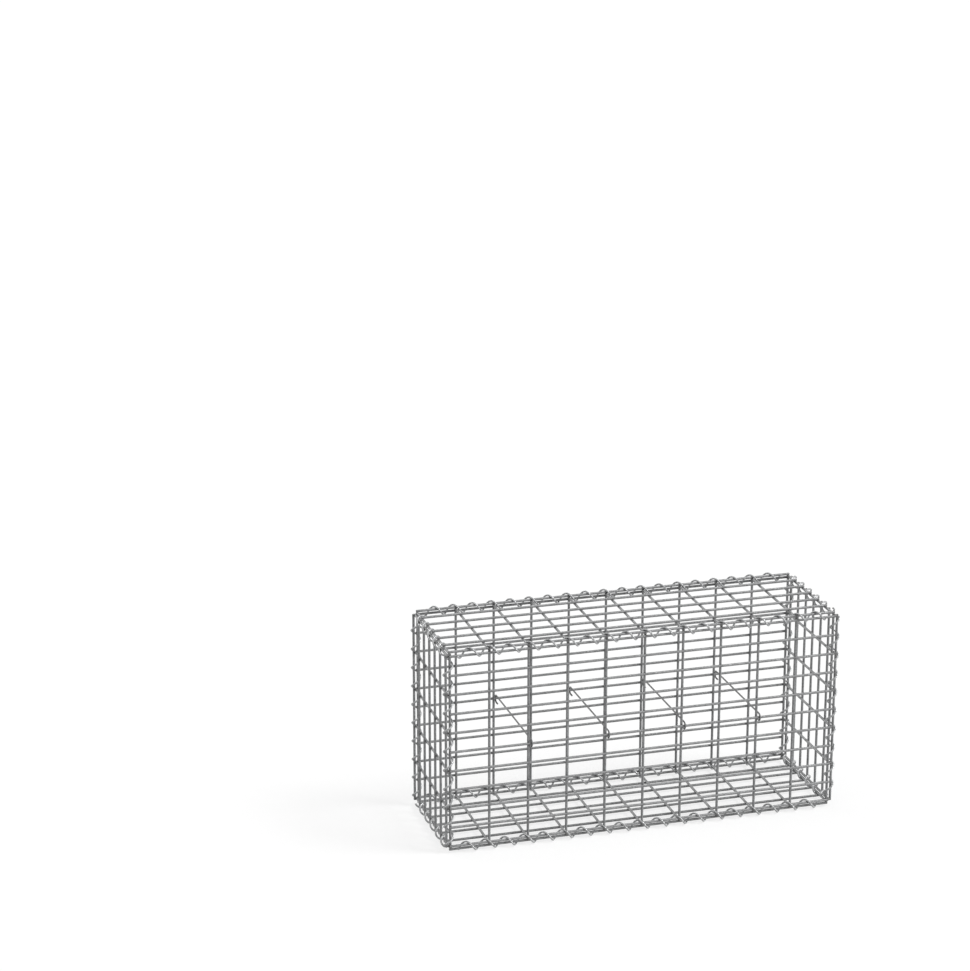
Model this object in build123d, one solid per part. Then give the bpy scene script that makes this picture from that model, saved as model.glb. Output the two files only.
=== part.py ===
from build123d import *
import math
import os

# Welded-mesh gabion basket, empty and laced shut. Six flat panels of crossed wires are bound together along
# all twelve edges by spiral binders, and hooked cross ties hold the front and back panels at mid height.
# Millimetres. X runs along the length, Y from the front to the back, Z up from the ground.

# Basket, between the centre lines of the outermost wires
LENGTH = 1000.0
DEPTH = 300.0
HEIGHT = 500.0

# Welded mesh: the closer-set line wires lie on the outside of every panel, the cross wires on the inside
LINE_SPACING = 50.0
CROSS_SPACING = 100.0
WIRE = 5.0
WIRE_SIDES = 6

# Spiral binders, right-handed, with one turn to each line space
BINDER_WIRE = 4.0
BINDER_WIRE_SIDES = 4
BINDER_RUNS = 6
BINDER_END_GAP = 0.5

# Share of a turn between an edge's first mesh wire and the first place where its binder passes the outer wire
TOP_FRONT_LEAD_SHARE = 0.96
TOP_BACK_LEAD_SHARE = 0.0
BASE_FRONT_LEAD_SHARE = 0.42
BASE_BACK_LEAD_SHARE = 0.04
LEFT_FRONT_LEAD_SHARE = 0.07
LEFT_BACK_LEAD_SHARE = 0.22
RIGHT_FRONT_LEAD_SHARE = 0.95
RIGHT_BACK_LEAD_SHARE = 0.94
END_LEAD_SHARE = 0.25

# Cross ties, hooked round the middle line wires beside every second upright
TIE_WIRE = 3.5
TIE_WIRE_SIDES = 4
TIE_HOOK_RADIUS = 9.0
TIE_HOOK_RUNS = 4
TIE_TAIL = 12.0
TIE_BESIDE = 7.0
TIE_FIRST_UPRIGHT = 2
TIE_EVERY = 2

# Room between pieces that bear on each other
SEAT = 0.3


def corner_radius(wire, sides):
    """Corner radius of the regular section that has as much metal as the round wire."""
    return wire / 2 * math.sqrt(2 * math.pi / (sides * math.sin(2 * math.pi / sides)))


def flat_radius(wire, sides):
    """Distance from the middle of that section to its flats."""
    return corner_radius(wire, sides) * math.cos(math.pi / sides)


WIRE_CORNER = corner_radius(WIRE, WIRE_SIDES)
WIRE_FLAT = flat_radius(WIRE, WIRE_SIDES)
WIRE_OVERHANG = WIRE / 2
BINDER_CORNER = corner_radius(BINDER_WIRE, BINDER_WIRE_SIDES)
BINDER_FLAT = flat_radius(BINDER_WIRE, BINDER_WIRE_SIDES)
TIE_FLAT = flat_radius(TIE_WIRE, TIE_WIRE_SIDES)

# Layers of wire, as distances out from the planes of LENGTH, DEPTH and HEIGHT. The front and back panels have
# their cross wires in those planes. The lid, base and ends lie just outside their neighbours' edge wires.
FRONT_WELD = WIRE_FLAT
CLOSING_WELD = WIRE_CORNER + SEAT + 2 * WIRE_FLAT
FRONT_LINE = DEPTH / 2 + FRONT_WELD + WIRE_FLAT
CLOSING_LINE = CLOSING_WELD + WIRE_FLAT
CLOSING_CROSS = CLOSING_WELD - WIRE_FLAT

# Every binder has the same bore, made for the two edge wires that lie farthest apart
WIDEST_PAIR = max(
    math.hypot(FRONT_LINE - DEPTH / 2, CLOSING_LINE),
    CLOSING_LINE,
    math.hypot(CLOSING_CROSS, CLOSING_CROSS),
)
BINDER_GRIP = WIDEST_PAIR / 2
BINDER_HALF_TURN = math.pi / BINDER_RUNS
BINDER_RADIUS = BINDER_GRIP + (BINDER_CORNER + WIRE_CORNER + SEAT) / math.cos(BINDER_HALF_TURN)
BINDER_OUTSIDE = BINDER_RADIUS + BINDER_CORNER / math.cos(BINDER_HALF_TURN)
BINDER_STOP = BINDER_OUTSIDE + BINDER_CORNER + BINDER_END_GAP


def wire_places(span, spacing):
    """Places of the wires that share a span evenly, at about the given spacing, from its first edge."""
    spaces = round(span / spacing)
    return [span * i / spaces for i in range(spaces + 1)]


def true_spacing(span, spacing):
    """Spacing of the wires that share a span evenly."""
    return span / round(span / spacing)


def bar(start, along, across, length):
    """Straight mesh wire with its flats in the plane of the mesh."""
    section = Plane(origin=start, x_dir=across, z_dir=along) * RegularPolygon(WIRE_CORNER, WIRE_SIDES)
    return extrude(section, amount=length)


def mesh_panel(line_length, cross_length):
    """Welded panel: line wires along X on the +Z side of the weld plane, cross wires along Y on the -Z side."""
    x_dir, y_dir = Vector(1, 0, 0), Vector(0, 1, 0)
    bars = []
    for y in wire_places(cross_length, LINE_SPACING):
        start = Vector(-line_length / 2 - WIRE_OVERHANG, y - cross_length / 2, WIRE_FLAT)
        bars.append(bar(start, x_dir, y_dir, line_length + 2 * WIRE_OVERHANG))
    for x in wire_places(line_length, CROSS_SPACING):
        start = Vector(x - line_length / 2, -cross_length / 2 - WIRE_OVERHANG, -WIRE_FLAT)
        bars.append(bar(start, y_dir, x_dir, cross_length + 2 * WIRE_OVERHANG))
    return bars[0].fuse(*bars[1:])


def bent_wire(points, facing, side):
    """Wire with mitred bends through the points. One flat of its square section faces the given way."""
    path = Polyline(*points)
    section = Plane(origin=points[0], x_dir=facing, z_dir=points[1] - points[0]) * Rectangle(side, side)
    return sweep(section, path=path, transition=Transition.RIGHT)


def binder(outer, inner, axis, pitch, lead_share, first, last):
    """Spiral binder round two edge wires. It bears on the outer one, and runs from first to last along the edge."""
    toward = (outer - inner).normalized()
    beside = axis.cross(toward)
    centre = outer - toward * BINDER_GRIP
    step = pitch / BINDER_RUNS
    lead = pitch * lead_share

    def radial(place):
        """Direction out from the binder's axis at a place counted in runs."""
        angle = 2 * BINDER_HALF_TURN * place
        return toward * math.cos(angle) + beside * math.sin(angle)

    places = range(math.ceil((first - lead) / step), math.floor((last - lead) / step) + 1)
    points = [centre + axis * (lead + step * k) + radial(k) * BINDER_RADIUS for k in places]
    return bent_wire(points, radial(places[0] + 1 / 2), 2 * BINDER_FLAT)


def cross_tie(x, z):
    """Straight tie between the front and back panels, with a hook round a line wire at each end."""
    bend_step = math.pi / TIE_HOOK_RUNS
    reach = TIE_HOOK_RADIUS - (TIE_FLAT + WIRE_CORNER + SEAT) / math.cos(bend_step / 2)
    hook_y = FRONT_LINE - reach
    tail_y = hook_y - TIE_TAIL
    bend = [bend_step * i for i in range(TIE_HOOK_RUNS + 1)]
    hook = [(hook_y + TIE_HOOK_RADIUS * math.sin(a), z + TIE_HOOK_RADIUS * math.cos(a)) for a in bend]
    back = hook + [(tail_y, z - TIE_HOOK_RADIUS)]
    front = [(-y, level) for y, level in reversed(back)]
    points = [Vector(x, y, level) for y, level in front + back]
    return bent_wire(points, Vector(1, 0, 0), 2 * TIE_FLAT)


X, Y, Z = Vector(1, 0, 0), Vector(0, 1, 0), Vector(0, 0, 1)
MIDDLE = Z * (HEIGHT / 2)
nodes = {}

# Panels, each with its line wires outside
upright_panel = mesh_panel(LENGTH, HEIGHT)
end_panel = mesh_panel(HEIGHT, DEPTH)
level_panel = mesh_panel(LENGTH, DEPTH)
for name, sign in (("front", -1), ("back", 1)):
    weld_plane = Plane(MIDDLE + Y * sign * (DEPTH / 2 + FRONT_WELD), x_dir=X, z_dir=Y * sign)
    nodes[f"{name}_panel"] = weld_plane * upright_panel
for name, sign in (("left", -1), ("right", 1)):
    weld_plane = Plane(MIDDLE + X * sign * (LENGTH / 2 + CLOSING_WELD), x_dir=Z, z_dir=X * sign)
    nodes[f"{name}_panel"] = weld_plane * end_panel
for name, sign in (("base", -1), ("lid", 1)):
    weld_plane = Plane(MIDDLE + Z * sign * (HEIGHT / 2 + CLOSING_WELD), x_dir=X, z_dir=Z * sign)
    nodes[f"{name}_panel"] = weld_plane * level_panel

# Binders along the length and depth stop short of the upright binders, which run the full height
LENGTH_PITCH = true_spacing(LENGTH, CROSS_SPACING) / round(CROSS_SPACING / LINE_SPACING)
DEPTH_PITCH = true_spacing(DEPTH, LINE_SPACING)
HEIGHT_PITCH = true_spacing(HEIGHT, LINE_SPACING)
LENGTH_STOP = BINDER_STOP + BINDER_GRIP - CLOSING_LINE
LEVELS = (("base", -1, 0), ("top", 1, HEIGHT))
SIDES = (("front", -1), ("back", 1))
ENDS = (("left", -1), ("right", 1))
LENGTH_LEAD_SHARES = {
    ("front", "top"): TOP_FRONT_LEAD_SHARE,
    ("back", "top"): TOP_BACK_LEAD_SHARE,
    ("front", "base"): BASE_FRONT_LEAD_SHARE,
    ("back", "base"): BASE_BACK_LEAD_SHARE,
}
UPRIGHT_LEAD_SHARES = {
    ("left", "front"): LEFT_FRONT_LEAD_SHARE,
    ("left", "back"): LEFT_BACK_LEAD_SHARE,
    ("right", "front"): RIGHT_FRONT_LEAD_SHARE,
    ("right", "back"): RIGHT_BACK_LEAD_SHARE,
}
for level, up, z in LEVELS:
    for side, sign in SIDES:
        outer = Vector(-LENGTH / 2, sign * DEPTH / 2, z + up * CLOSING_LINE)
        inner = Vector(-LENGTH / 2, sign * FRONT_LINE, z)
        share = LENGTH_LEAD_SHARES[side, level]
        nodes[f"binder_{side}_{level}"] = binder(
            outer, inner, X, LENGTH_PITCH, share, LENGTH_STOP, LENGTH - LENGTH_STOP
        )
    for end, sign in ENDS:
        outer = Vector(sign * LENGTH / 2, -DEPTH / 2, z + up * CLOSING_CROSS)
        inner = Vector(sign * (LENGTH / 2 + CLOSING_CROSS), -DEPTH / 2, z)
        nodes[f"binder_{end}_{level}"] = binder(
            outer, inner, Y, DEPTH_PITCH, END_LEAD_SHARE, BINDER_STOP, DEPTH - BINDER_STOP
        )
for end, end_sign in ENDS:
    for side, side_sign in SIDES:
        outer = Vector(end_sign * (LENGTH / 2 + CLOSING_LINE), side_sign * DEPTH / 2, 0)
        inner = Vector(end_sign * LENGTH / 2, side_sign * DEPTH / 2, 0)
        share = UPRIGHT_LEAD_SHARES[end, side]
        nodes[f"binder_{side}_{end}"] = binder(outer, inner, Z, HEIGHT_PITCH, share, 0, HEIGHT)

# Ties at the line wire nearest to mid height
uprights = wire_places(LENGTH, CROSS_SPACING)
rows = wire_places(HEIGHT, LINE_SPACING)
tie_row = rows[len(rows) // 2]
tied_uprights = uprights[TIE_FIRST_UPRIGHT:len(uprights) - TIE_FIRST_UPRIGHT:TIE_EVERY]
for number, x in enumerate(tied_uprights, start=1):
    nodes[f"cross_tie_{number}"] = cross_tie(x - LENGTH / 2 + TIE_BESIDE, tie_row)

# The basket stands on the lowest bends of its base binders
lift = -min(corner.Z for name in nodes if name.endswith("_base") for corner in nodes[name].vertices())
os.makedirs("parts", exist_ok=True)
for name, piece in nodes.items():
    export_step(Pos(0, 0, lift) * piece, f"parts/{name}.step")
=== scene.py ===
"""Looks of an empty gabion basket: round zinc-coated mesh wires, spiral binders and hooked cross ties.

Metres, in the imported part's frame: X along the length, Y from the front to the back, Z up from the floor.
"""

from __future__ import annotations

import logging
import math
from dataclasses import dataclass, field
from enum import Enum

import bpy
import numpy as np
from mathutils import Matrix, Vector


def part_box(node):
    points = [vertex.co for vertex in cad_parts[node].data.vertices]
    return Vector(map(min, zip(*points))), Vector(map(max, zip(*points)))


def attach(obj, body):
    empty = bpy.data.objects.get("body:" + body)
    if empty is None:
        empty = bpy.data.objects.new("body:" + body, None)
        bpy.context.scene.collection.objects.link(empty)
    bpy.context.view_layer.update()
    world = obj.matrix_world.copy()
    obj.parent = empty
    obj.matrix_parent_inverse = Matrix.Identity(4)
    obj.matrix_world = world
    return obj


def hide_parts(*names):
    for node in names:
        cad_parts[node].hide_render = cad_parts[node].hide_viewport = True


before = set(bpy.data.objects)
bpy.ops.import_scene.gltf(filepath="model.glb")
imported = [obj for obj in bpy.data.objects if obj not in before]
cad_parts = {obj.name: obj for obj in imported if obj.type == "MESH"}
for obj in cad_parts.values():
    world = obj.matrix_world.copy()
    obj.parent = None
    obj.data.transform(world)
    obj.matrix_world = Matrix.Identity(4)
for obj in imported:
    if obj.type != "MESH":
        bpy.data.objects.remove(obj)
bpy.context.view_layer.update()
BODY = "root"
MM = 0.001
X, Y, Z = Vector((1, 0, 0)), Vector((0, 1, 0)), Vector((0, 0, 1))
log = logging.getLogger("basket")


# Shader graphs


class Value:
    """A number that varies over a surface. Arithmetic on it adds Math nodes."""

    def __init__(self, graph: Graph, socket: bpy.types.NodeSocket) -> None:
        """Wraps one output socket of a graph."""
        self.graph = graph
        self.socket = socket

    def math(self, operation: str, first: Value | float, second: Value | float) -> Value:
        """Adds one Math node.

        Args:
            operation: Name of the Math node's operation.
            first: First operand.
            second: Second operand.

        Returns:
            The node's result.
        """
        node = self.graph.node("ShaderNodeMath", {"operation": operation}, {0: first, 1: second})
        return Value(self.graph, node.outputs[0])

    def __add__(self, other: Value | float) -> Value:
        """This value plus another."""
        return self.math("ADD", self, other)

    def __sub__(self, other: Value | float) -> Value:
        """This value less another."""
        return self.math("SUBTRACT", self, other)

    def __mul__(self, other: Value | float) -> Value:
        """This value times another."""
        return self.math("MULTIPLY", self, other)

    def __radd__(self, other: float) -> Value:
        """A number plus this value."""
        return self.math("ADD", other, self)

    def __rsub__(self, other: float) -> Value:
        """A number less this value."""
        return self.math("SUBTRACT", other, self)

    def __rmul__(self, other: float) -> Value:
        """A number times this value."""
        return self.math("MULTIPLY", other, self)


Colour = tuple[float, float, float, float]
Input = Value | bpy.types.NodeSocket | float | Colour


class Graph:
    """The nodes of one material or of the world."""

    def __init__(self, owner: bpy.types.Material | bpy.types.World) -> None:
        """Empties the owner's node tree.

        Args:
            owner: Material or world to write.
        """
        owner.use_nodes = True
        self.tree = owner.node_tree
        self.tree.nodes.clear()

    def node(
        self,
        kind: str,
        settings: dict[str, object] | None = None,
        inputs: dict[str | int, Input] | None = None,
    ) -> bpy.types.Node:
        """Adds a node.

        Args:
            kind: Blender's name for the node's type.
            settings: Properties, set before the sockets.
            inputs: Values or links of the sockets, by name or number, among those in use.

        Returns:
            The new node.
        """
        node = self.tree.nodes.new(kind)
        for name, setting in (settings or {}).items():
            setattr(node, name, setting)
        for key, given in (inputs or {}).items():
            used = [socket for socket in node.inputs if socket.enabled]
            target = used[key] if isinstance(key, int) else next(s for s in used if s.name == key)
            source = given.socket if isinstance(given, Value) else given
            if isinstance(source, bpy.types.NodeSocket):
                self.tree.links.new(source, target)
            else:
                target.default_value = source
        return node

    def value(
        self, kind: str, output: str, settings: dict[str, object] | None = None, **inputs: Input
    ) -> Value:
        """Adds a node and takes one of its outputs as a value.

        Args:
            kind: Blender's name for the node's type.
            output: Name of the output.
            settings: Properties of the node.
            **inputs: Values or links of the sockets, by name.

        Returns:
            That output.
        """
        return Value(self, self.node(kind, settings, inputs).outputs[output])

    def mix(self, factor: Value | float, first: Input, second: Input) -> bpy.types.NodeSocket:
        """Mixes two colours.

        Args:
            factor: Share of the second colour.
            first: First colour.
            second: Second colour.

        Returns:
            The mixed colour.
        """
        sockets = {"Factor": factor, "A": first, "B": second}
        node = self.node("ShaderNodeMix", {"data_type": "RGBA"}, sockets)
        return next(socket for socket in node.outputs if socket.enabled)


def grey(level: float, warmth: float = 0.0) -> Colour:
    """A near-neutral colour.

    Args:
        level: Linear level of green.
        warmth: Share by which red rises and blue falls.

    Returns:
        Linear colour with full opacity.
    """
    return (level * (1 + warmth), level, level * (1 - warmth), 1.0)


# Finishes


class Mark(Enum):
    """Marks that the wires carry, from 0 to 1."""

    WELD = "weld"
    CUT = "cut"


@dataclass(frozen=True)
class Galvanised:
    """Zinc coat on drawn wire, with a spangle of crystals, duller patches, burnt welds and bare cut ends."""

    name: str
    dull: float
    bright: float
    rough: float
    metallic: float = 0.25
    rough_spread: float = 0.14
    warmth: float = -0.012
    spangle_size: float = 3.2 * MM
    spangle_share: float = 0.45
    spangle_rough: float = 0.6
    patch_size: float = 26 * MM
    patch_detail: float = 3.0
    patch_share: float = 1.1
    tone_shift: float = -0.27
    grain_size: float = 0.9 * MM
    grain_detail: float = 2.0
    grain_depth: float = 0.06 * MM
    grain_strength: float = 0.5
    weld_rough: float = 0.8
    rough_shift: float = -0.3
    weld_share: float = 0.3
    weld_level: float = 0.07
    cut_level: float = 0.2

    def material(self) -> bpy.types.Material:
        """Builds the zinc coat.

        Returns:
            The finished material.
        """
        material = bpy.data.materials.new(self.name)
        graph = Graph(material)
        place = graph.node("ShaderNodeTexCoord").outputs["Object"]
        cells = {"Vector": place, "Scale": 1 / self.spangle_size}
        crystal = graph.node("ShaderNodeTexVoronoi", inputs=cells)
        tint = graph.value("ShaderNodeTexWhiteNoise", "Value", Vector=crystal.outputs["Position"])
        patch = self.noise(graph, place, self.patch_size, self.patch_detail)
        grain = self.noise(graph, place, self.grain_size, self.grain_detail)
        weld = graph.value("ShaderNodeAttribute", "Fac", {"attribute_name": Mark.WELD.value})
        cut = graph.value("ShaderNodeAttribute", "Fac", {"attribute_name": Mark.CUT.value})
        tone = self.spangle_share * tint + self.patch_share * patch + self.tone_shift
        zinc = graph.mix(tone, grey(self.dull, self.warmth), grey(self.bright, self.warmth))
        burnt = graph.mix(weld * self.weld_share, zinc, grey(self.weld_level))
        coat = graph.mix(cut, burnt, grey(self.cut_level, -self.warmth))
        wear = self.spangle_rough * tint + self.weld_rough * weld + self.rough_shift
        rough = self.rough + self.rough_spread * wear
        relief = {"Strength": self.grain_strength, "Distance": self.grain_depth, "Height": grain}
        bump = graph.node("ShaderNodeBump", inputs=relief)
        sockets = {
            "Base Color": coat,
            "Metallic": self.metallic,
            "Roughness": rough,
            "Normal": bump.outputs["Normal"],
        }
        shader = graph.node("ShaderNodeBsdfPrincipled", inputs=sockets)
        graph.node("ShaderNodeOutputMaterial", inputs={"Surface": shader.outputs["BSDF"]})
        return material

    @staticmethod
    def noise(graph: Graph, place: bpy.types.NodeSocket, size: float, detail: float) -> Value:
        """Adds a cloudy pattern.

        Args:
            graph: Graph to add it to.
            place: Coordinates.
            size: Size of its clouds.
            detail: Octaves of finer detail.

        Returns:
            A value around one half.
        """
        return graph.value("ShaderNodeTexNoise", "Fac", Vector=place, Scale=1 / size, Detail=detail)


@dataclass(frozen=True)
class PaperWhite:
    """Floor of the studio. Seen by the eye or in metal it is white, and it keeps the shadow."""

    name: str = "paper_white"
    level: float = 0.3
    lift: float = 0.74

    def material(self) -> bpy.types.Material:
        """Builds the floor's paper.

        Returns:
            The finished material.
        """
        material = bpy.data.materials.new(self.name)
        graph = Graph(material)
        paper = graph.node("ShaderNodeBsdfDiffuse", inputs={"Color": grey(self.level)}).outputs[0]
        glow = graph.node("ShaderNodeEmission", inputs={"Strength": self.lift}).outputs[0]
        lifted = graph.node("ShaderNodeAddShader", inputs={0: paper, 1: glow}).outputs[0]
        seen = graph.node("ShaderNodeMixShader", inputs={0: seen_rays(graph), 1: paper, 2: lifted})
        graph.node("ShaderNodeOutputMaterial", inputs={"Surface": seen.outputs[0]})
        return material


def seen_rays(graph: Graph) -> Value:
    """The rays that show a background.

    Args:
        graph: Graph to add the mask to.

    Returns:
        At least 1 for a camera, glossy or transmission ray, or 0.
    """
    rays = graph.node("ShaderNodeLightPath").outputs
    kinds = ("Is Camera Ray", "Is Glossy Ray", "Is Transmission Ray")
    camera, glossy, through = (Value(graph, rays[kind]) for kind in kinds)
    return camera + glossy + through


# Wires


Face = tuple[int, ...]


class WireMesh:
    """Faces of the wires that make up one piece."""

    SIDES = 16
    CHAMFER_SHARE = 0.2
    NUGGET_SIDES = 12
    NUGGET_ROWS = 6
    SHARP_ANGLE = math.radians(50)

    def __init__(self) -> None:
        """Starts with no wires."""
        self.points: list[np.ndarray] = []
        self.faces: list[Face] = []
        self.marks: dict[Mark, list[np.ndarray]] = {mark: [] for mark in Mark}
        self.count = 0

    def add(self, points: np.ndarray, faces: list[Face], weld: np.ndarray, cut: np.ndarray) -> None:
        """Adds one closed shape.

        Args:
            points: Its corners.
            faces: Its faces, as numbers of its own corners.
            weld: Weld mark of each corner.
            cut: Cut mark of each corner.
        """
        self.faces += [tuple(self.count + corner for corner in face) for face in faces]
        self.points.append(points)
        self.marks[Mark.WELD].append(weld)
        self.marks[Mark.CUT].append(cut)
        self.count += len(points)

    def wire(self, path: np.ndarray, radius: float, weld: np.ndarray | None = None) -> None:
        """Adds a round wire whose cut ends have a small chamfer.

        Args:
            path: Points of its centre line.
            radius: Half of its thickness.
            weld: Weld mark at each of those points.
        """
        chamfer = self.CHAMFER_SHARE * radius
        tangents = np.gradient(path, axis=0)
        tangents /= np.linalg.norm(tangents, axis=1)[:, None]
        starts, ends = path[0] - chamfer * tangents[0], path[-1] + chamfer * tangents[-1]
        path = np.vstack([starts, path, ends])
        tangents = np.vstack([tangents[0], tangents, tangents[-1]])
        radii = np.full(len(path), radius)
        radii[[0, -1]] -= chamfer
        normals = self.carried_normals(tangents)
        sideways = np.cross(tangents, normals)
        turn = 2 * math.pi * np.arange(self.SIDES) / self.SIDES
        rim = normals[:, None] * np.cos(turn)[:, None] + sideways[:, None] * np.sin(turn)[:, None]
        points = (path[:, None] + radii[:, None, None] * rim).reshape(-1, 3)
        marks = np.zeros(len(path)) if weld is None else np.concatenate([[weld[0]], weld, [weld[-1]]])
        cut = np.zeros(len(path))
        cut[[0, -1]] = 1
        weld_marks, cut_marks = (np.repeat(values, self.SIDES) for values in (marks, cut))
        self.add(points, self.tube_faces(len(path)), weld_marks, cut_marks)

    @staticmethod
    def carried_normals(tangents: np.ndarray) -> np.ndarray:
        """Carries one direction along a path without twisting it.

        Args:
            tangents: Unit directions along the path.

        Returns:
            Unit directions square to them.
        """
        first = np.cross(tangents[0], np.eye(3)[np.argmin(np.abs(tangents[0]))])
        normals = [first / np.linalg.norm(first)]
        for tangent in tangents[1:]:
            carried = normals[-1] - tangent * (normals[-1] @ tangent)
            normals.append(carried / np.linalg.norm(carried))
        return np.array(normals)

    @classmethod
    def tube_faces(cls, rings: int) -> list[Face]:
        """Faces of a closed tube.

        Args:
            rings: Number of rings of corners.

        Returns:
            The sides and both ends.
        """
        sides = cls.SIDES
        faces: list[Face] = [tuple(reversed(range(sides)))]
        for ring in range(rings - 1):
            low, high = ring * sides, (ring + 1) * sides
            for i in range(sides):
                j = (i + 1) % sides
                faces.append((low + i, low + j, high + j, high + i))
        faces.append(tuple(range((rings - 1) * sides, rings * sides)))
        return faces

    def nugget(self, centre: Vector, reach: tuple[Vector, Vector, Vector]) -> None:
        """Adds the metal that is squeezed out where two wires are welded.

        Args:
            centre: Middle of the weld.
            reach: Half axes of the nugget.
        """
        across, high = self.NUGGET_SIDES, self.NUGGET_ROWS
        rows = [(math.cos(math.pi * k / high), math.sin(math.pi * k / high)) for k in range(1, high)]
        turns = [2 * math.pi * k / across for k in range(across)]
        unit = [(s * math.cos(a), s * math.sin(a), c) for c, s in rows for a in turns]
        unit += [(0, 0, 1), (0, 0, -1)]
        points = np.array(centre) + np.array(unit) @ np.array(reach)
        top, bottom = len(unit) - 2, len(unit) - 1
        faces: list[Face] = []
        for i in range(across):
            j = (i + 1) % across
            faces.append((top, i, j))
            for row in range(high - 2):
                low = row * across
                faces.append((low + i, low + across + i, low + across + j, low + j))
            last = (high - 2) * across
            faces.append((last + i, bottom, last + j))
        self.add(points, faces, np.ones(len(points)), np.zeros(len(points)))

    def build(self, name: str, node: str, slot: str, material: bpy.types.Material) -> bpy.types.Object:
        """Makes the piece that stands for a node.

        Args:
            name: Name of the piece.
            node: Name of the node.
            slot: Material slot of the record; not used.
            material: Finish of the wires.

        Returns:
            The new piece.
        """
        mesh = bpy.data.meshes.new(name)
        mesh.from_pydata(np.concatenate(self.points).tolist(), [], self.faces)
        for mark, values in self.marks.items():
            layer = mesh.attributes.new(mark.value, "FLOAT", "POINT")
            layer.data.foreach_set("value", np.concatenate(values).astype(np.float32))
        mesh.shade_smooth()
        mesh.set_sharp_from_angle(angle=self.SHARP_ANGLE)
        mesh.materials.append(material)
        piece = bpy.data.objects.new(name, mesh)
        bpy.context.scene.collection.objects.link(piece)
        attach(piece, BODY)
        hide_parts(node)
        log.info("%s: %d faces for %s", name, len(mesh.polygons), node)
        return piece


def even_places(span: float, spacing: float) -> list[float]:
    """Places of wires that share a span evenly.

    Args:
        span: Distance between the first and the last.
        spacing: About how far apart they are.

    Returns:
        Places from the middle of the span.
    """
    spaces = round(span / spacing)
    return [span * (i / spaces - 0.5) for i in range(spaces + 1)]


# Panels


class Panel(Enum):
    """The six panels: name, direction outward and direction of the line wires."""

    FRONT = ("front", -Y, X)
    BACK = ("back", Y, X)
    LEFT = ("left", -X, Z)
    RIGHT = ("right", X, Z)
    BASE = ("base", -Z, X)
    LID = ("lid", Z, X)


class Layer(Enum):
    """The two layers of wire of a panel, by their side of the weld plane."""

    LINE = 1
    CROSS = -1


@dataclass
class MeshPanel:
    """Welded panel: line wires outside, cross wires inside, fused where they cross."""

    panel: Panel
    wire: float = 6.4 * MM
    bar_sides: int = 6
    line_spacing: float = 50 * MM
    cross_spacing: float = 100 * MM
    overhang_share: float = 0.4
    weld_reach: float = 3.3 * MM
    weld_height: float = 1.4 * MM
    weld_unevenness: float = 0.16
    heat_reach: float = 5 * MM
    ring_steps: tuple[float, ...] = (-10 * MM, -5 * MM, -2 * MM, 0.0, 2 * MM, 5 * MM, 10 * MM)

    def __post_init__(self) -> None:
        """Takes the panel's place and spans from its node, which is two bars thick."""
        self.name, self.out, self.along = self.panel.value
        self.node = f"{self.name}_panel"
        self.across = self.out.cross(self.along)
        low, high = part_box(self.node)
        size = high - low
        self.middle = (low + high) / 2
        self.layer_offset = abs(size.dot(self.out)) / 4
        bar_width = 2 * self.layer_offset / math.cos(math.pi / self.bar_sides)
        self.line_span = abs(size.dot(self.along)) - bar_width
        self.cross_span = abs(size.dot(self.across)) - bar_width

    def edge(self, toward: Vector, layer: Layer) -> Vector:
        """Middle of the outermost wire on one side.

        Args:
            toward: Side of the panel.
            layer: Kind of wire.

        Returns:
            A point on the wire's centre line.
        """
        span = self.cross_span if layer is Layer.LINE else self.line_span
        return self.middle + self.out * self.layer_offset * layer.value + toward * span / 2

    def layer(self, layer: Layer) -> tuple[Vector, Vector, float, list[float], list[float]]:
        """Layout of one layer of wires.

        Args:
            layer: Kind of wire.

        Returns:
            Direction of its wires, direction that they are spread in, their span, their places and the
            places where the other layer crosses them.
        """
        lines = even_places(self.cross_span, self.line_spacing)
        crosses = even_places(self.line_span, self.cross_spacing)
        if layer is Layer.LINE:
            return self.along, self.across, self.line_span, lines, crosses
        return self.across, self.along, self.cross_span, crosses, lines

    def build(self, finish: bpy.types.Material) -> bpy.types.Object:
        """Builds the panel.

        Args:
            finish: Coat of its wires.

        Returns:
            The new piece.
        """
        shape = WireMesh()
        for layer in Layer:
            self.add_wires(shape, layer)
        self.add_welds(shape)
        return shape.build(f"{self.name}_mesh", self.node, "mesh_wire", finish)

    def add_wires(self, shape: WireMesh, layer: Layer) -> None:
        """Adds one layer of wires, each marked near its welds.

        Args:
            shape: Mesh to add to.
            layer: Kind of wire.
        """
        along, spread, span, places, crossings = self.layer(layer)
        end = span / 2 + self.overhang_share * self.wire
        near = {min(max(crossing + step, -end), end) for crossing in crossings for step in self.ring_steps}
        rings = np.array(sorted(near))
        heat = np.abs(rings[:, None] - np.array(crossings)).min(axis=1) / self.heat_reach
        weld = np.exp(-(heat**2))
        for place in places:
            base = self.middle + self.out * self.layer_offset * layer.value + spread * place
            path = np.array(base) + rings[:, None] * np.array(along)
            shape.wire(path, self.wire / 2, weld)

    def add_welds(self, shape: WireMesh) -> None:
        """Adds a slightly uneven nugget at every crossing.

        Args:
            shape: Mesh to add to.
        """
        random = np.random.default_rng(list(Panel).index(self.panel))
        for line in even_places(self.cross_span, self.line_spacing):
            for cross in even_places(self.line_span, self.cross_spacing):
                grow = 1 + self.weld_unevenness * random.uniform(-1, 1, 3)
                centre = self.middle + self.across * line + self.along * cross
                reach = (
                    self.along * self.weld_reach * grow[0],
                    self.across * self.weld_reach * grow[1],
                    self.out * self.weld_height * grow[2],
                )
                shape.nugget(centre, reach)


# Spiral binders


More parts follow.
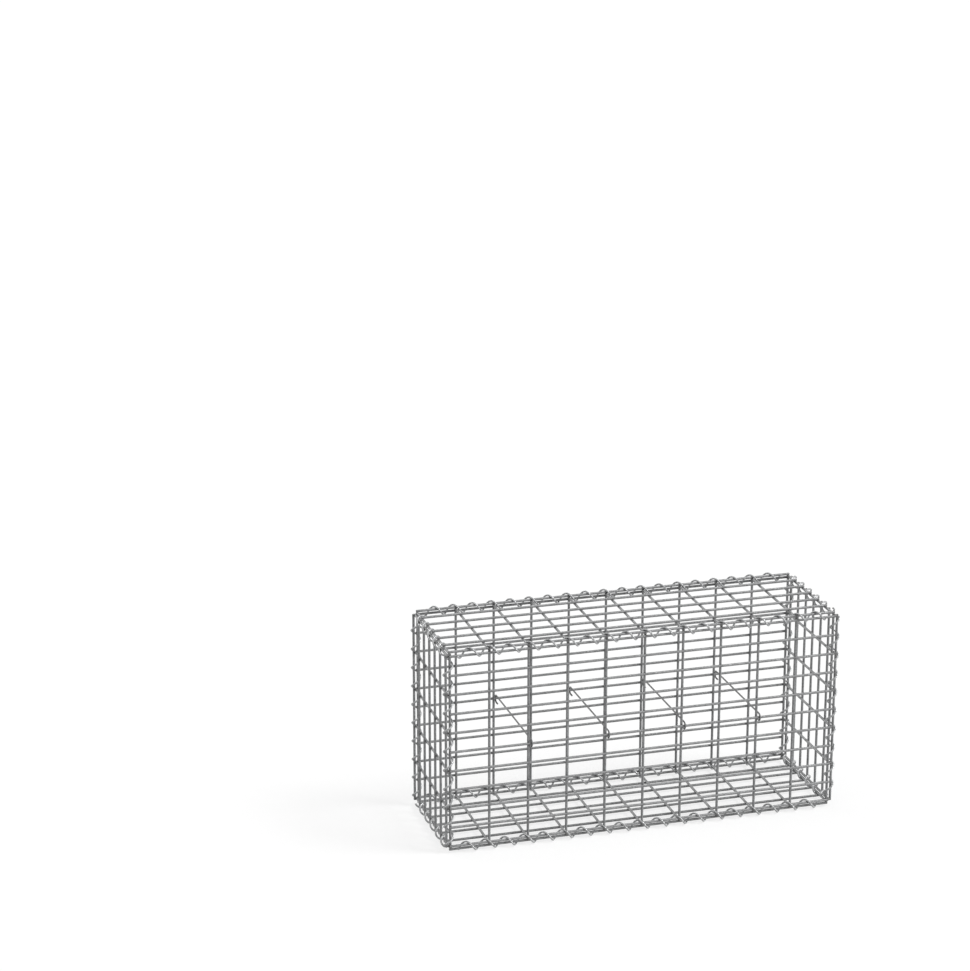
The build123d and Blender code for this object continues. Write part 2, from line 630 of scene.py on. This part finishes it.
@dataclass
class SpiralBinder:
    """Spiral binder, right-handed, rolled round the two edge wires that it laces together."""

    node: str
    axis: Vector
    outer: Vector
    inner: Vector
    start: float
    pitch: float
    lead_share: float
    grip: float
    wire: float = 4.6 * MM
    radius: float = 11.12 * MM
    tuck: float = 0.3 * MM
    tuck_turns: float = 0.2
    steps_per_turn: int = 32

    def build(self, finish: bpy.types.Material) -> bpy.types.Object:
        """Builds the binder.

        Args:
            finish: Coat of its wire.

        Returns:
            The new piece.
        """
        shape = WireMesh()
        shape.wire(self.path(), self.wire / 2)
        return shape.build(f"{self.node}_spiral", self.node, "binder_wire", finish)

    def path(self) -> np.ndarray:
        """Centre line of the wire. Its ends are tucked in towards the edge wires.

        Returns:
            Points along the spiral.
        """
        low, high = (corner.dot(self.axis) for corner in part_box(self.node))
        first, last = low + self.wire / 2, high - self.wire / 2
        turns = (last - first) / self.pitch
        along = np.linspace(first, last, round(turns * self.steps_per_turn))
        angle = 2 * math.pi * ((along - self.start) / self.pitch - self.lead_share)
        from_end = np.minimum(along - first, last - along) / self.pitch / self.tuck_turns
        radius = self.radius - self.tuck * np.clip(1 - from_end, 0, 1) ** 2
        toward = (self.outer - self.inner).normalized()
        beside = self.axis.cross(toward)
        centre = self.outer - toward * self.grip
        centre -= self.axis * centre.dot(self.axis)
        radial = np.outer(np.cos(angle), toward) + np.outer(np.sin(angle), beside)
        return np.array(centre) + np.outer(along, self.axis) + radius[:, None] * radial


# Cross ties


@dataclass
class CrossTie:
    """Straight tie between the front and back panels, with a hook round a line wire at each end."""

    node: str
    wire: float = 4.2 * MM
    tail: float = 12 * MM
    bend_steps: int = 14
    rod_steps: int = 12

    def build(self, finish: bpy.types.Material) -> bpy.types.Object:
        """Builds the tie.

        Args:
            finish: Coat of its wire.

        Returns:
            The new piece.
        """
        shape = WireMesh()
        shape.wire(self.path(), self.wire / 2)
        return shape.build(f"{self.node}_rod", self.node, "tie_wire", finish)

    def path(self) -> np.ndarray:
        """Centre line of the wire.

        Returns:
            Points from the front tail over the rod to the back tail.
        """
        low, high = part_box(self.node)
        inset = (high.x - low.x) / 2
        radius = (high.z - low.z) / 2 - inset
        x, z = (low.x + high.x) / 2, (low.z + high.z) / 2
        hook_y = high.y - radius - self.wire / 2
        bend = np.linspace(0, math.pi, self.bend_steps)
        back = [(hook_y + radius * math.sin(a), z + radius * math.cos(a)) for a in bend]
        back.append((hook_y - self.tail, z - radius))
        middle = (low.y + high.y) / 2
        front = [(2 * middle - y, level) for y, level in reversed(back)]
        inner_y = (2 * middle - hook_y, hook_y)
        rod = [(y, z + radius) for y in np.linspace(*inner_y, self.rod_steps)[1:-1]]
        return np.array([(x, y, level) for y, level in front + rod + back])


# The whole basket


class Edge(Enum):
    """Leads: share of a turn from an edge's first wire to where its binder first passes the outer wire."""

    binder_front_top = 0.96
    binder_back_top = 0.0
    binder_front_base = 0.42
    binder_back_base = 0.04
    binder_front_left = 0.07
    binder_back_left = 0.22
    binder_front_right = 0.95
    binder_back_right = 0.94


@dataclass
class Basket:
    """The six panels, the twelve binders along their edges and the cross ties inside."""

    mesh_coat: Galvanised
    binder_coat: Galvanised
    tie_coat: Galvanised
    end_lead_share: float = 0.25
    panels: dict[Panel, MeshPanel] = field(
        default_factory=lambda: {panel: MeshPanel(panel) for panel in Panel}
    )

    def binder(
        self, node: str, axis: Vector, pair: tuple[Vector, Vector], start: float, grip: float
    ) -> SpiralBinder:
        """One binder.

        Args:
            node: Its node.
            axis: Direction of its edge.
            pair: Points on the outer and the inner edge wire.
            start: Place of the edge's first wire along the axis.
            grip: Half the distance between the edge wires that lie farthest apart.

        Returns:
            The binder, ready to build.
        """
        lead_share = Edge[node].value if node in Edge.__members__ else self.end_lead_share
        pitch = self.panels[Panel.FRONT].line_spacing
        return SpiralBinder(node, axis, *pair, start, pitch, lead_share, grip)

    def edges(self) -> dict[str, tuple[Vector, tuple[Vector, Vector], float]]:
        """The twelve edges.

        Returns:
            By binder node: the edge's direction, its outer and inner wires and where its wires start.
        """
        front = self.panels[Panel.FRONT]
        half = {"x": front.line_span / 2, "y": self.panels[Panel.LID].cross_span / 2}
        bottom = front.middle.z - front.cross_span / 2
        edges = {}
        for level, closing, up in (("base", Panel.BASE, -Z), ("top", Panel.LID, Z)):
            for side in (Panel.FRONT, Panel.BACK):
                name, out, _ = side.value
                pair = (self.panels[closing].edge(out, Layer.LINE), self.panels[side].edge(up, Layer.LINE))
                edges[f"binder_{name}_{level}"] = (X, pair, -half["x"])
            for end in (Panel.LEFT, Panel.RIGHT):
                name, out, _ = end.value
                pair = (self.panels[closing].edge(out, Layer.CROSS), self.panels[end].edge(up, Layer.CROSS))
                edges[f"binder_{name}_{level}"] = (Y, pair, -half["y"])
        for end in (Panel.LEFT, Panel.RIGHT):
            for side in (Panel.FRONT, Panel.BACK):
                end_name, outward, _ = end.value
                side_name, out, _ = side.value
                pair = (self.panels[end].edge(out, Layer.LINE), self.panels[side].edge(outward, Layer.CROSS))
                edges[f"binder_{side_name}_{end_name}"] = (Z, pair, bottom)
        return edges

    def build(self) -> list[bpy.types.Object]:
        """Builds every piece.

        Returns:
            The pieces.
        """
        mesh, binder, tie = (coat.material() for coat in (self.mesh_coat, self.binder_coat, self.tie_coat))
        pieces = [panel.build(mesh) for panel in self.panels.values()]
        edges = self.edges()
        grip = max(self.apart(axis, *pair) for axis, pair, _ in edges.values()) / 2
        for node, (axis, pair, start) in edges.items():
            pieces.append(self.binder(node, axis, pair, start, grip).build(binder))
        ties = sorted(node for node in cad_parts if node.startswith("cross_tie"))
        pieces += [CrossTie(node).build(tie) for node in ties]
        return pieces

    @staticmethod
    def apart(axis: Vector, outer: Vector, inner: Vector) -> float:
        """Distance between two wires that run along an axis."""
        return (outer - inner).cross(axis).length


# Studio


@dataclass(frozen=True)
class FarLamp:
    """Broad lamp so far away that it lights the basket and the whole floor alike."""

    name: str
    toward: tuple[float, float, float]
    breadth: float
    strength: float

    def build(self) -> bpy.types.Object:
        """Hangs the lamp.

        Returns:
            The lamp.
        """
        light = bpy.data.lights.new(self.name, "SUN")
        light.angle = math.radians(self.breadth)
        light.energy = self.strength
        lamp = bpy.data.objects.new(self.name, light)
        lamp.rotation_euler = Vector(self.toward).to_track_quat("Z", "Y").to_euler()
        bpy.context.scene.collection.objects.link(lamp)
        return lamp


@dataclass(frozen=True)
class Studio:
    """White paper floor, soft lamps and the camera."""

    floor: PaperWhite = PaperWhite()
    floor_side: float = 120.0
    ambient: float = 0.12
    lamps: tuple[FarLamp, ...] = (
        FarLamp("key_lamp", (0.6, -0.25, 0.8), 22.0, 1.7),
        FarLamp("top_lamp", (-0.1, 0.2, 1.0), 40.0, 0.5),
        FarLamp("fill_lamp", (-0.6, -0.3, 0.9), 50.0, 0.3),
        FarLamp("side_lamp", (0.8, -0.6, 0.12), 26.0, 1.8),
        FarLamp("back_lamp", (-0.6, 0.7, 0.4), 50.0, 0.8),
    )
    camera_place: tuple[float, float, float] = (-2.2029, -6.2564, 2.9552)
    camera_right: tuple[float, float, float] = (0.95954, -0.28158, 0.0)
    camera_up: tuple[float, float, float] = (0.08491, 0.28935, 0.95345)
    focal_pixels: float = 2808.65
    image_height: float = 971.0
    sensor: float = 36.0

    def build(self) -> None:
        """Builds the floor, the light and the camera."""
        self.build_floor()
        self.build_world()
        for lamp in self.lamps:
            lamp.build()
        self.build_camera()
        bpy.context.scene.view_settings.view_transform = "Standard"

    def build_floor(self) -> None:
        """Lays the paper."""
        half = self.floor_side / 2
        mesh = bpy.data.meshes.new("paper_floor")
        corners = [(-half, -half, 0), (half, -half, 0), (half, half, 0), (-half, half, 0)]
        mesh.from_pydata(corners, [], [(0, 1, 2, 3)])
        mesh.materials.append(self.floor.material())
        floor = bpy.data.objects.new("paper_floor", mesh)
        bpy.context.scene.collection.objects.link(floor)

    def build_world(self) -> None:
        """Surrounds the basket with white paper, dimmer as a source of light."""
        world = bpy.data.worlds.new("studio")
        bpy.context.scene.world = world
        graph = Graph(world)
        soft, white = (
            graph.node("ShaderNodeBackground", inputs={"Color": grey(1.0), "Strength": strength}).outputs[0]
            for strength in (self.ambient, 1.0)
        )
        seen = graph.node("ShaderNodeMixShader", inputs={0: seen_rays(graph), 1: soft, 2: white})
        graph.node("ShaderNodeOutputWorld", inputs={"Surface": seen.outputs[0]})

    def build_camera(self) -> None:
        """Sets up the camera at the viewing angle."""
        data = bpy.data.cameras.new("camera")
        data.sensor_fit = "VERTICAL"
        data.sensor_width = data.sensor_height = self.sensor
        data.lens = self.focal_pixels * self.sensor / self.image_height
        camera = bpy.data.objects.new("camera", data)
        right, up = Vector(self.camera_right), Vector(self.camera_up)
        turn = Matrix((right, up, right.cross(up))).transposed()
        camera.matrix_world = Matrix.Translation(self.camera_place) @ turn.to_4x4()
        bpy.context.scene.collection.objects.link(camera)
        bpy.context.scene.camera = camera


def main() -> None:
    """Builds the basket and its studio."""
    logging.basicConfig(level=logging.INFO, format="%(name)s %(message)s")
    basket = Basket(
        mesh_coat=Galvanised("mesh_zinc", dull=0.21, bright=0.39, rough=0.3),
        binder_coat=Galvanised("binder_zinc", dull=0.34, bright=0.6, rough=0.2),
        tie_coat=Galvanised("tie_zinc", dull=0.1, bright=0.19, rough=0.36),
    )
    pieces = basket.build()
    Studio().build()
    log.info("%d pieces", len(pieces))


if __name__ == "__main__":
    main()
